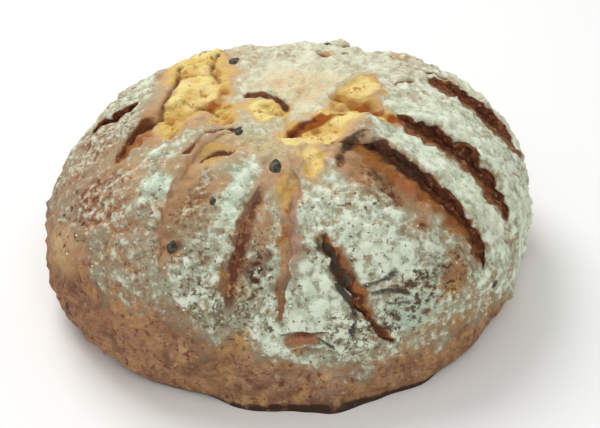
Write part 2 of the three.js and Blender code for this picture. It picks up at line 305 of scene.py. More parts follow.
# How far the crust is torn, how high its crumb rises there, and how much it is stretched near a tear
def tornCrown(place):
    whole = 1.0
    clear = 1.0
    weights = tiny
    rises = 0.0
    ragged = layeredNoise(place, tearEdge["ragged"], "tear")
    for bearing, reach, radius, rise in crownTears:
        centre = smoothLoaf(math.radians(bearing), reach)
        away = np.hypot(place[..., 0] - centre[0], place[..., 1] - centre[1]) / radius + ragged
        inside = 1 - smoothStep(away, 1 - tearEdge["soft"], 1 + tearEdge["soft"])
        near = np.exp(-away ** 2)
        clear = clear * (1 - np.exp(-(away / tearEdge["fringe"]) ** 2))
        whole = whole * (1 - inside)
        weights = weights + near
        rises = rises + near * rise
    return 1 - whole, rises / weights, 1 - clear


# Cracks: width, depth, darkness (partly browned edges, partly painted shade in the crack), then the bearing
# and reach of each bend
crustCracks = [
    (1.5, 1.6, 0.9, [(228, 33), (224, 36), (220, 42), (222, 49), (222, 55)]),
    (1.8, 1.4, 0.9, [(240, 46), (235, 49), (230, 54)]),
    (1.2, 1.2, 0.8, [(33, 50), (31, 62), (29, 74)]),
    (1.2, 1.0, 0.7, [(18, 45), (21, 53)]),
    (1.0, 1.2, 0.9, [(267.5, 126), (278, 126)]),
    (1.2, 0.8, 0.7, [(271, 135), (277, 135)]),
    (2.4, 1.8, 1.1, [(162, 19), (150, 15), (150, 9), (240, 5)]),
    (1.6, 1.2, 0.7, [(269, 30), (275, 25), (285, 21), (300, 20)]),
    (1.6, 2.0, 0.7, [(123, 61), (140, 47), (156, 34)]),
    (2.0, 2.0, 0.7, [(142, 64), (157, 56), (172, 53), (187, 55)]),
    (1.8, 1.4, 0.9, [(69, 44), (73, 45)]),
    (1.6, 1.8, 0.35, [(159, 48), (160, 40), (157, 34)]),
    (1.6, 1.4, 0.5, [(179, 45), (188, 37), (198, 31)]),
    (2.0, 1.6, 0.7, [(293, 53), (296, 48), (302, 44), (310, 42)]),
]

# Dull creases where the floured crust folded, with shade painted in them: width, depth, darkness of that
# painted shade, then its bends
crustCreases = [
    (1.0, 1.6, 1.0, [(280, 106), (283, 115), (284, 131)]),
    (1.4, 1.2, 0.7, [(288.5, 108), (293, 107), (297, 105)]),
    (1.4, 1.2, 0.65, [(290, 112), (294.5, 112), (299, 115)]),
    (0.9, 0.8, 0.6, [(293, 117), (299, 119)]),
    (0.9, 0.8, 0.6, [(276, 128), (280, 134), (279, 140)]),
    (0.9, 0.8, 0.6, [(300, 128), (305, 124)]),
    (0.9, 0.8, 0.6, [(249, 120), (253, 126)]),
]
crackEdge = {"wobble": 0.5, "wobbleSpacing": 4}


def lineDistance(place, bends):
    nearest = np.full(place.shape[:-1], np.inf)
    ends = [smoothLoaf(math.radians(bearing), reach) for bearing, reach in bends]
    for a, b in zip(ends, ends[1:]):
        along = np.clip((place - a) @ (b - a) / ((b - a) @ (b - a)), 0, 1)
        nearest = np.minimum(nearest, np.linalg.norm(place - a - along[..., None] * (b - a), axis=-1))
    return nearest


def crackedCrust(place, cracks):
    depth = np.zeros(place.shape[:-1])
    dark = np.zeros(place.shape[:-1])
    wobble = crackEdge["wobble"] * softNoise(place, crackEdge["wobbleSpacing"], "crack")
    for width, deep, darkness, bends in cracks:
        near = np.exp(-((lineDistance(place, bends) + wobble) / width) ** 2)
        depth = np.maximum(depth, deep * near)
        dark = np.maximum(dark, darkness * near)
    return depth, dark


# A blister that burst and left a sunken ring, whole in places, round a low dome. The ring is painted dark as
# shade, like the walls under the cuts' lips.
blister = {
    "bearing": 261.5, "reach": 100, "radius": 3.2, "thick": 1.5, "depth": 1.6, "dome": 0.8,
    "ragged": 0.7, "raggedSpacing": 3, "whole": 0.6, "broken": 1.2, "gapSpacing": 3.5,
}


def burstBlister(place):
    centre = smoothLoaf(math.radians(blister["bearing"]), blister["reach"])
    away = np.linalg.norm(place - centre, axis=-1)
    away = away + blister["ragged"] * softNoise(place, blister["raggedSpacing"], "blister")
    ring = np.exp(-((away - blister["radius"]) / blister["thick"]) ** 2)
    left = blister["whole"] + blister["broken"] * softNoise(place, blister["gapSpacing"], "blisterGap")
    dome = blister["dome"] * np.exp(-(away / blister["radius"]) ** 2)
    return ring * np.clip(left, 0, 1), dome


# Low places in the crust: bearing, reach, width, length, depth
crustHollows = [
    (262, 103, 16, 44, 1.6), (297, 112, 14, 8, 0.8), (236, 97, 9, 8, 1.0), (236, 58, 10, 9, -1.6),
]


# Soft patches on the crust, each a bearing, reach, width, length and amount
def softPatches(bearing, reach, radius, patches, flatness=1.5):
    total = np.zeros_like(radius)
    for at, down, width, length, amount in patches:
        x = radius * wrapTurn(bearing - math.radians(at)) / (width / 2)
        y = (reach - down) / (length / 2)
        total = total + amount * np.exp(-(x * x + y * y) ** flatness)
    return total


# The crust at a bearing and reach: its place in millimetres and what gave it that place
def crustForm(bearing, reach):
    smooth = smoothLoaf(bearing, reach)
    radius = np.hypot(smooth[..., 0], smooth[..., 1])
    cuts = openCuts(bearing, reach, smooth)
    torn, rise, fringe = tornCrown(smooth)
    crackDepth, crackDark = crackedCrust(smooth, crustCracks)
    foldDepth, foldShadeDark = crackedCrust(smooth, crustCreases)
    ring, dome = burstBlister(smooth)
    risen = smoothStep(reach, *loafShape["puffRise"]) - smoothStep(reach, *loafShape["puffFall"])
    crust = loafShape["puffHeight"] * cuts["pillow"] * risen + cuts["lip"] - cuts["cut"]
    crust = crust - softPatches(bearing, reach, radius, crustHollows) + dome - blister["depth"] * ring
    fine = tearEdge["lumpSpacing"] / tearEdge["smallLumpFineness"]
    lumps = softNoise(smooth, tearEdge["lumpSpacing"], "lump")
    lumps = lumps + tearEdge["smallLump"] * softNoise(smooth, fine, "smallLump")
    crumb = rise + tearEdge["lump"] * lumps
    curl = tearEdge["curl"] * 4 * torn * (1 - torn)  # highest at a tear's edge
    waver = loafShape["waver"] * softNoise(smooth, loafShape["waverSpacing"], "waver")
    height = crust + torn * (crumb - crust) + curl + waver - crackDepth - foldDepth
    settled = smoothStep(smooth[..., 2], 0, loafShape["settleHeight"])
    sideways = np.stack([-np.sin(bearing), np.cos(bearing), np.zeros_like(bearing)], axis=-1)
    place = smooth + outwardOf(smoothLoaf, bearing, reach) * (settled * height)[..., None]
    place = place + sideways * (settled * cuts["shift"] * (1 - torn))[..., None]
    place[..., 2] = np.maximum(place[..., 2], 0)
    ragged = softNoise(place * loafShape["footStretch"], loafShape["footSpacing"], "foot")
    foot = loafShape["footRagged"] * (1 - settled) * ragged
    place[..., :2] = place[..., :2] * (1 + foot / np.maximum(radius, loafShape["leastRadius"]))[..., None]
    return {
        "place": place, "radius": radius, "cuts": cuts, "torn": torn, "fringe": fringe, "lumps": lumps,
        "settled": settled, "foldShade": foldShadeDark,
        # painted shade, partly burnt crust: under the cuts' lips, in the cracks and in the blister's ring
        "shade": np.maximum.reduce([cuts["shade"] * (1 - torn), crackDark, ring]),
    }


def crustPlace(bearing, reach):
    return crustForm(bearing, reach)["place"]


# Patches of colour: bearing, reach, width, length, amount
colourPatches = {
    "crumbBrown": [
        (272, 28, 7, 8, 1), (280, 23, 8, 7, 1.1), (295, 21, 9, 7, 1), (312, 22, 9, 7, 0.9),
        (330, 24, 8, 6, 0.8), (357, 31, 10, 10, 0.8), (346, 36, 10, 10, 1.2), (342, 47, 9, 11, 1),
        (5, 20, 8, 5, 1), (187, 32, 9, 7, 0.8), (193, 26, 6, 6, 0.6), (191, 38, 7, 6, 0.6),
        (150, 57, 7, 10, 0.7), (180, 58, 9, 7, 0.4), (226, 14, 16, 10, 0.5),
    ],
    "crumbPale": [
        (20, 31, 18, 15, 0.8), (275, 34, 9, 6, 0.9), (287, 34, 9, 6, 1), (299, 35, 9, 6, 0.9),
        (281, 47, 8, 22, 0.8), (330, 32, 12, 8, 0.6), (142, 49, 10, 10, 0.7), (160, 47, 12, 10, 0.8),
        (171, 37, 16, 12, 0.9), (184, 42, 12, 10, 0.6),
    ],
    "peach": [
        (234, 52, 16, 24, 0.8), (268, 64, 7, 26, 0.9), (268, 90, 5, 30, 0.5), (195, 60, 12, 14, 0.4),
        (200, 126, 44, 30, 0.5), (211, 115, 30, 24, 0.7), (258, 48, 18, 16, 0.6), (45, 64, 14, 20, 0.5),
        (110, 58, 16, 22, 0.5),
    ],
    # mauve-grey: partly the crust's own tint, partly painted shade on the lip wall of the cut at bearing 270
    "mauve": [
        (275, 150, 90, 22, 0.45), (272.5, 129, 14, 5, 0.5), (271.5, 76, 4, 26, 0.8),
        (271, 94, 4, 22, 0.8), (204, 38, 9, 9, 0.8), (275, 62, 8, 16, 0.6),
    ],
    "browned": [
        (304, 68, 34, 48, 0.75), (262, 98, 18, 60, 0.4), (239, 78, 18, 36, 0.8), (205, 84, 60, 60, 0.4),
        (311, 112, 26, 18, 0.4), (48, 88, 34, 50, 0.6), (80, 94, 30, 50, 0.6), (113, 90, 32, 50, 0.6),
        (152, 96, 34, 50, 0.5),
    ],
    "russet": [
        (197, 61, 12, 16, 1), (313, 74, 9, 30, 0.8), (240, 72, 9, 8, 0.6), (262, 82, 9, 20, 0.5),
        (340, 52, 6, 12, 0.8), (272.5, 129, 13, 6, 1), (84, 100, 8, 20, 0.6), (139, 86, 8, 22, 0.6),
    ],
    "overbaked": [
        (258.5, 70, 6, 16, 0.75), (257, 84, 7, 20, 0.9), (255.5, 97, 7, 18, 0.9), (255.5, 110, 6, 16, 0.9),
        (260.5, 99, 9, 10, 0.8), (264, 93, 5, 6, 0.7), (266, 106, 4, 5, 0.7), (306, 75, 7, 10, 0.9),
        (304, 61, 5, 6, 0.6), (307.5, 90, 6, 6, 0.9), (302.5, 125, 6, 5, 0.8), (211, 95, 12, 14, 0.5),
        (272.5, 127, 13, 4, 0.6), (72, 88, 7, 9, 0.8), (111, 82, 6, 9, 0.8), (151, 98, 7, 9, 0.7),
        (42, 86, 6, 8, 0.7), (302.5, 110, 2, 7, 0.7), (240, 93, 7, 6, 0.7),
    ],
    "scorch": [
        (295, 49, 5, 7, 0.65), (301, 44, 8, 6, 0.7), (309, 42, 9, 6, 0.7), (317, 43, 8, 6, 0.6),
        (289.5, 136, 4, 8, 0.8),
    ],
    "golden": [
        (231, 48, 13, 13, 1), (235, 55, 9, 8, 0.7), (243, 45, 14, 14, 0.5), (268, 64, 9, 24, 1),
        (258, 48, 16, 16, 0.4), (246, 62, 9, 14, 0.5), (279, 60, 8, 14, 0.7), (221, 62, 10, 12, 0.4),
    ],
    # cool mint flour: partly the flour's own tint, partly painted shade on the flour low on the crust near
    # bearing 300
    "mint": [
        (224, 73, 15, 17, 0.7), (251, 64, 11, 36, 0.6), (301, 124, 30, 24, 0.95), (284, 112, 10, 30, 0.5),
        (297, 96, 22, 26, 0.5), (248, 104, 16, 30, 0.5), (275, 120, 16, 30, 0.5),
    ],
    "beige": [
        (255, 40, 36, 26, 0.9), (218, 42, 22, 20, 0.5), (282, 62, 14, 20, 0.4), (300, 65, 24, 28, 0.45),
        (239, 76, 16, 28, 0.6),
    ],
    "mottled": [
        (209, 68, 24, 30, 0.6), (198, 88, 56, 56, 1), (216, 106, 56, 40, 0.55), (176, 86, 30, 40, 0.6),
        (222, 92, 24, 40, 0.5), (237, 70, 15, 50, 1), (186, 68, 26, 22, 0.6),
    ],
    # where the crust crazed as it spread, so that dark gaps show
    "crazed": [
        (262, 100, 22, 50, 0.9), (312, 112, 44, 24, 0.9), (280, 130, 44, 18, 0.7), (246, 108, 30, 34, 0.7),
        (296, 107, 24, 16, 0.6), (297, 124, 34, 22, 0.9), (240, 78, 40, 40, 0.6), (205, 100, 70, 70, 0.7),
        (335, 112, 30, 24, 0.5), (304, 68, 22, 34, 0.9), (212, 48, 30, 24, 0.5), (275, 62, 24, 30, 0.4),
        (48, 98, 50, 44, 0.8), (80, 102, 44, 40, 0.8), (112, 98, 44, 44, 0.8), (150, 104, 44, 44, 0.8),
    ],
    # where the flour split into flakes
    "flaked": [
        (285, 128, 60, 40, 0.5), (255, 118, 40, 40, 0.5), (312, 112, 40, 34, 0.5), (225, 105, 70, 60, 0.4),
        (240, 80, 40, 44, 0.3), (300, 95, 30, 30, 0.2), (60, 100, 90, 50, 0.4), (130, 100, 90, 50, 0.4),
    ],
}
onCrumb = ("crumbBrown", "crumbPale", "scorch")  # patches that torn crumb keeps

# Looks that follow the form: from where to where each comes in, then what else sets them
crustTints = {
    "bake": (30, 125), "blush": (60, 100), "specked": (35, 75), "pits": (20, 45),  # reach
    "crumbLumpHighlight": (0, 0.8), "crumbHollowShade": (0, 0.7), "inFlour": (0.15, 0.5),  # lumps, amount of flour
    "offCuts": (0.5, 0.9), "offBase": (0.5, 5.5),  # how bare a cut is, height above the base
    "baked": (0.3, 0.5), "blushAt": (212, 34),  # least and how much more, bearing and spread
    "mottling": (0.9, 0.5, 0.6, 15),  # mean, swing, least, spacing
    "creamReach": 38, "flakedAll": 0.4,
}

# Flour sifted over the top: bearing, amount, height above the base where it fades out
flourDust = {
    "rows": [
        (0, 0.72, 4), (15, 0.66, 16), (30, 0.62, 24), (60, 0.6, 30), (100, 0.58, 32), (140, 0.58, 36),
        (160, 0.56, 39), (178, 0.5, 40), (195, 0.4, 40), (213, 0.4, 40), (226, 0.44, 38), (240, 0.48, 35),
        (250, 0.52, 32), (260, 0.5, 25), (268, 0.6, 15), (277, 0.68, 10), (288, 0.65, 8), (297, 0.56, 11),
        (304, 0.52, 18), (316, 0.5, 22), (329, 0.6, 12), (345, 0.7, 0),
    ],
    "fade": 18, "raggedFade": [(9, 22), (5, 7)],  # raggedFade: size, spacing
    "crownAmount": 0.95, "crownReach": (10.4, 41.6),
    # bearing where it lies even or creamy, how far to both sides, and how much so
    "even": (-12, 38, 0.75), "creamy": (85, 92, 1.0),
    # how much of it these places lose
    "bare": {
        "cutBare": 0.68, "torn": 0.9, "shade": 0.85, "scorch": 0.75, "overbaked": 0.6, "browned": 0.2,
        "peach": 0.4, "mauve": 0.5, "russet": 0.5, "golden": 0.4,
    },
    "fringeLoss": 0.55,
    # more or less of it: bearing, reach, width, length, change
    "dabs": [
        (224, 73, 13, 15, 0.35), (214, 56, 14, 24, 0.3), (165, 70, 30, 20, 0.15), (184, 72, 24, 20, 0.15),
        (251, 62, 9, 34, 0.35), (250, 105, 22, 40, 0.1), (275, 108, 12, 44, 0.12), (268, 124, 24, 12, 0.25),
        (300, 92, 34, 40, 0.2), (290, 84, 22, 22, 0.12), (257, 47, 18, 16, 0.06), (331, 80, 16, 70, 0.4),
        (352, 78, 22, 60, 0.15), (320, 123, 9, 8, 0.4), (262, 103, 15, 44, 0.05), (236, 72, 16, 34, -0.15),
        (302, 58, 24, 24, -0.35), (309, 78, 14, 30, -0.25), (266, 58, 22, 24, -0.15),
        (311, 114, 14, 12, -0.3), (296, 110, 16, 12, -0.1), (261.5, 100, 5, 5, 0.6),
        (272.5, 129, 13, 6, -1), (266, 129, 8, 10, 0.4), (338, 128, 22, 22, -0.2),
    ],
}


def flourCover(bearing, reach, place, looks):
    at, amounts, lows = zip(*flourDust["rows"])
    degrees = np.degrees(bearing) % 360
    amount = np.interp(degrees, at, amounts, period=360)
    low = np.interp(degrees, at, lows, period=360)
    crown = smoothStep(reach, *flourDust["crownReach"])
    amount = flourDust["crownAmount"] + (amount - flourDust["crownAmount"]) * crown
    radius = np.hypot(place[..., 0], place[..., 1])
    amount = np.clip(amount + softPatches(bearing, reach, radius, flourDust["dabs"]), 0, 1)
    low = low + layeredNoise(place, flourDust["raggedFade"], "flourEdge")
    fade = smoothStep(place[..., 2], low - flourDust["fade"], low + flourDust["fade"])
    bare = np.maximum.reduce([share * looks[name] for name, share in flourDust["bare"].items()])
    return amount * fade * (1 - bare) * (1 - flourDust["fringeLoss"] * looks["fringe"])


# What shows on the crust, each from 0 to 1. Flour that lies even has fewer specks, pits and flakes.
def crustLooks(bearing, reach, form):
    whole = 1 - form["torn"]
    looks = {name: form[name] for name in ("torn", "fringe", "shade", "foldShade")}
    for name, rows in colourPatches.items():
        patches = np.clip(softPatches(bearing, reach, form["radius"], rows), 0, 1)
        looks[name] = patches if name in onCrumb else patches * whole
    looks["scorch"] = np.maximum(looks["scorch"], form["cuts"]["char"] * whole)
    for name in ("bare", "brown", "gold"):
        looks["cut" + name.title()] = form["cuts"][name] * whole
    inCuts = smoothStep(form["cuts"]["bare"], *crustTints["offCuts"])
    mean, swing, least, spacing = crustTints["mottling"]
    uneven = np.clip(mean + swing * softNoise(form["place"], spacing, "mottled"), least, 1)
    looks["mottled"] = looks["mottled"] * (1 - inCuts) * uneven
    # painted highlight on the crumb's lumps and painted shade in its hollows, by the lumps' height
    looks["crumbLumpHighlight"] = form["torn"] * smoothStep(form["lumps"], *crustTints["crumbLumpHighlight"])
    looks["crumbHollowShade"] = form["torn"] * smoothStep(-form["lumps"], *crustTints["crumbHollowShade"])
    looks["crumbRough"] = form["settled"] * form["torn"]
    looks["crustRough"] = form["settled"] * whole
    least, more = crustTints["baked"]
    looks["bake"] = least + more * smoothStep(reach, *crustTints["bake"])
    # darker towards the base: partly burnt crust, partly painted contact shade where the loaf meets the
    # floor
    looks["baseEdge"] = 1 - smoothStep(form["place"][..., 2], *crustTints["offBase"])
    looks["cream"] = np.exp(-(reach / crustTints["creamReach"]) ** 4)
    at, spread = crustTints["blushAt"]
    off = (np.degrees(bearing) % 360 - at) / spread
    looks["blush"] = np.exp(-off ** 2) * smoothStep(reach, *crustTints["blush"])
    flour = flourCover(bearing, reach, form["place"], looks)
    lies = {"cream": looks["cream"]}
    for name in ("even", "creamy"):
        at, across, share = flourDust[name]
        off = wrapTurn(bearing - math.radians(at)) / math.radians(across)
        lies[name] = share * np.exp(-off ** 4) * whole
    for name in ("specked", "pits"):
        looks[name] = smoothStep(reach, *crustTints[name]) * whole * (1 - lies["even"])
    looks["flaked"] = np.clip(looks["flaked"] + crustTints["flakedAll"] * looks["specked"], 0, 1)
    for name in ("specked", "pits", "flaked", "mint"):
        looks[name] = looks[name] * smoothStep(flour, *crustTints["inFlour"])
    for name, share in lies.items():
        looks[name + "Flour"] = flour * share
    looks["flour"] = flour
    return looks


# The loaf's faces. Columns follow the edges of the cuts, and between two edges they share out the
# length of crust, so that walls get theirs.
loafGrid = {
    "columns": 400, "leastColumns": 8,  # round the loaf between the cuts, and in the narrowest gap
    "faceColumns": 9, "wallColumns": 7,  # across a cut's opened side and its wall
    "gapSamples": 80, "evenShare": 0.15, "leastOpen": 0.15, "leastGap": 0.001,
    "rowSteps": [(24, 1.2), (124, 0.95), (400, 1.5)],  # up to this reach, rows are so far apart
    "baseRows": (0.97, 0.82, 0.64, 0.46, 0.28, 0.14, 0),  # on the underside, as shares of its radius
    # what shows on the underside, inside its dark edge
    "baseLook": {"baseEdge": 0.45, "bake": 0.95, "browned": 0.9, "flour": 0.25, "overbaked": 0.3},
}


def layRows():
    reach = [0.0]
    while reach[-1] < meridian["end"]:
        step = next(step for limit, step in loafGrid["rowSteps"] if reach[-1] < limit)
        reach.append(reach[-1] + step)
    reach[-1] = meridian["end"]
    return np.array(reach)


def layColumns(reach):
    edges = []  # bearings of the cuts' edges on each row
    counts = []  # how many columns follow each, where that is fixed
    for slash in slashCuts:
        line = slashLine(slash, reach)
        radius = np.maximum(np.hypot(*smoothLoaf(line, reach)[:, :2].T), loafShape["leastRadius"])
        offsets = cutEdges(slash, np.maximum(openShare(slash, reach), loafGrid["leastOpen"]))
        turns = [line + slash["lipSide"] * offset / radius for offset in offsets]
        edges += turns[::slash["lipSide"]]
        inside = [loafGrid["faceColumns"], loafGrid["wallColumns"]]
        counts += inside[::slash["lipSide"]] + [None]
    ends = [np.degrees(edge[-1]) for edge in edges]
    share = np.linspace(0, 1, loafGrid["gapSamples"])
    rows = np.arange(len(reach))
    bearings = []
    for i, edge in enumerate(edges):
        after = (i + 1) % len(edges)
        gap = np.maximum(wrapTurn(edges[after] - edge), loafGrid["leastGap"])
        wide = (ends[after] - ends[i]) % 360 / 360
        count = counts[i] or max(loafGrid["leastColumns"], round(loafGrid["columns"] * wide))
        dense = edge[:, None] + gap[:, None] * share
        place = crustPlace(dense, np.broadcast_to(reach[:, None], dense.shape))
        step = np.linalg.norm(np.diff(place, axis=1), axis=-1)
        step = step + loafGrid["evenShare"] * step.mean(axis=1, keepdims=True)
        run = np.concatenate([np.zeros((len(reach), 1)), np.cumsum(step, axis=1)], axis=1)
        for j in range(count):
            wanted = run[:, -1:] * j / count
            k = np.clip((run < wanted).sum(axis=1), 1, run.shape[1] - 1)
            t = (wanted[:, 0] - run[rows, k - 1]) / np.maximum(run[rows, k] - run[rows, k - 1], tiny)
            bearings.append(dense[rows, k - 1] + t * (dense[rows, k] - dense[rows, k - 1]))
    return np.stack(bearings, axis=1)


def meshFromGrid(name, grid):
    rows, columns = grid.shape[:2]
    vertices = np.concatenate([grid[0, :1], grid[1:-1].reshape(-1, 3), grid[-1, :1]])
    at = 1 + np.arange((rows - 2) * columns).reshape(rows - 2, columns)
    nextAt = np.roll(at, -1, axis=1)
    quads = np.stack([at[:-1], at[1:], nextAt[1:], nextAt[:-1]], axis=-1).reshape(-1, 4)
    last = len(vertices) - 1
    crown = [(0, int(a), int(b)) for a, b in zip(at[0], nextAt[0])]
    under = [(last, int(b), int(a)) for a, b in zip(at[-1], nextAt[-1])]
    mesh = bpy.data.meshes.new(name)
    mesh.from_pydata((vertices * mm).tolist(), [], quads.tolist() + crown + under)
    mesh.shade_smooth()
    return mesh


def gridValues(values):
    return np.concatenate([values[0, :1], values[1:-1].ravel(), values[-1, :1]]).astype(np.float32)


def makeLoaf():
    rows = layRows()
    bearing = layColumns(rows)
    reach = np.broadcast_to(rows[:, None], bearing.shape)
    form = crustForm(bearing, reach)
    looks = crustLooks(bearing, reach, form)
    base = form["place"][-1] * np.array(loafGrid["baseRows"])[:, None, None]
    grid = np.concatenate([form["place"], base])
    centre = (grid.min(axis=(0, 1)) + grid.max(axis=(0, 1))) / 2
    centre[2] = 0
    mesh = meshFromGrid("loaf", grid - centre)
    for name, values in looks.items():
        under = np.full(base.shape[:2], loafGrid["baseLook"].get(name, 0.0))
        values = gridValues(np.concatenate([values, under]))
        mesh.attributes.new(name, "FLOAT", "POINT").data.foreach_set("value", values)
    print("loaf:", len(mesh.vertices), "points,", len(mesh.polygons), "faces,", len(looks), "looks")
    return addToScene("floured_loaf", mesh), centre


# Adds a node with its settings, links and fixed values, and gives back one of its outputs
def addNode(tree, kind, inputs=None, out=0, **settings):
    node = tree.nodes.new(kind)
    for name, value in settings.items():
        setattr(node, name, value)
    for socket, value in (inputs or {}).items():
        if isinstance(value, bpy.types.NodeSocket):
            tree.links.new(value, node.inputs[socket])
        else:
            node.inputs[socket].default_value = value
    return node.outputs[out] if len(node.outputs) else None


def startMaterial(name):
    material = bpy.data.materials.new(name)
    material.use_nodes = True
    material.node_tree.nodes.clear()
    return material, material.node_tree


def endMaterial(tree, inputs):
    shader = addNode(tree, "ShaderNodeBsdfPrincipled", inputs)
    addNode(tree, "ShaderNodeOutputMaterial", {"Surface": shader})


def startTree(name, inputs):
    tree = bpy.data.node_groups.new(name, "GeometryNodeTree")
    tree.interface.new_socket("Geometry", in_out="INPUT", socket_type="NodeSocketGeometry")
    tree.interface.new_socket("Geometry", in_out="OUTPUT", socket_type="NodeSocketGeometry")
    for label in inputs:
        tree.interface.new_socket(label, in_out="INPUT", socket_type="NodeSocketFloat")
    return tree


def endTree(tree, shape, material):
    shape = addNode(tree, "GeometryNodeRealizeInstances", {"Geometry": shape})
    shape = addNode(tree, "GeometryNodeSetMaterial", {"Geometry": shape, "Material": material})
    addNode(tree, "NodeGroupOutput", {"Geometry": shape})
    return tree


# Runs a tree on a piece, with its sizes in millimetres, and leaves the result as a plain mesh
def settleTree(piece, tree, sizes):
    modifier = piece.modifiers.new(tree.name, "NODES")
    modifier.node_group = tree
    for item in tree.interface.items_tree:
        if item.in_out == "INPUT" and item.name in sizes:
            modifier[item.identifier] = sizes[item.name] * mm
    graph = bpy.context.evaluated_depsgraph_get()
    settled = piece.evaluated_get(graph)
    mesh = bpy.data.meshes.new_from_object(settled, preserve_all_data_layers=True, depsgraph=graph)
    piece.modifiers.remove(modifier)
    piece.data = mesh
    print(tree.name + ":", len(mesh.vertices), "points,", len(mesh.polygons), "faces")


# Roughness of the baked surface: distance between bumps and their height, in millimetres
crustRelief = {
    "Blister spacing": 12, "Blister height": 8, "Grit spacing": 5, "Grit height": 4.5,
    "Crumb spacing": 3.5, "Crumb height": 4,
}


# Bumps stand out along the crust's own direction, blisters and grit on crust and lumps on crumb
def makeReliefTree(material):
    tree = startTree("crust relief", crustRelief)
    place = addNode(tree, "GeometryNodeInputPosition")
    outward = addNode(tree, "GeometryNodeInputNormal")
    height = 0.0
    for kind, mask in (("Blister", "crustRough"), ("Grit", "crustRough"), ("Crumb", "crumbRough")):
        spacing = addNode(tree, "NodeGroupInput", out=kind + " spacing")
        size = addNode(tree, "NodeGroupInput", out=kind + " height")
        where = addNode(tree, "GeometryNodeInputNamedAttribute", {"Name": mask}, data_type="FLOAT")
        scale = addNode(tree, "ShaderNodeMath", {0: 1.0, 1: spacing}, operation="DIVIDE")
        bumps = addNode(tree, "ShaderNodeTexNoise", {"Vector": place, "Scale": scale, "Detail": 2.0})
        bumps = addNode(tree, "ShaderNodeMath", {0: bumps, 1: 0.5}, operation="SUBTRACT")
        bumps = addNode(tree, "ShaderNodeMath", {0: bumps, 1: size}, operation="MULTIPLY")
        height = addNode(tree, "ShaderNodeMath", {0: bumps, 1: where, 2: height}, operation="MULTIPLY_ADD")
    offset = addNode(tree, "ShaderNodeVectorMath", {0: outward, "Scale": height}, operation="SCALE")
    shape = addNode(tree, "NodeGroupInput", out="Geometry")
    shape = addNode(tree, "GeometryNodeSetPosition", {"Geometry": shape, "Offset": offset})
    return endTree(tree, shape, material)


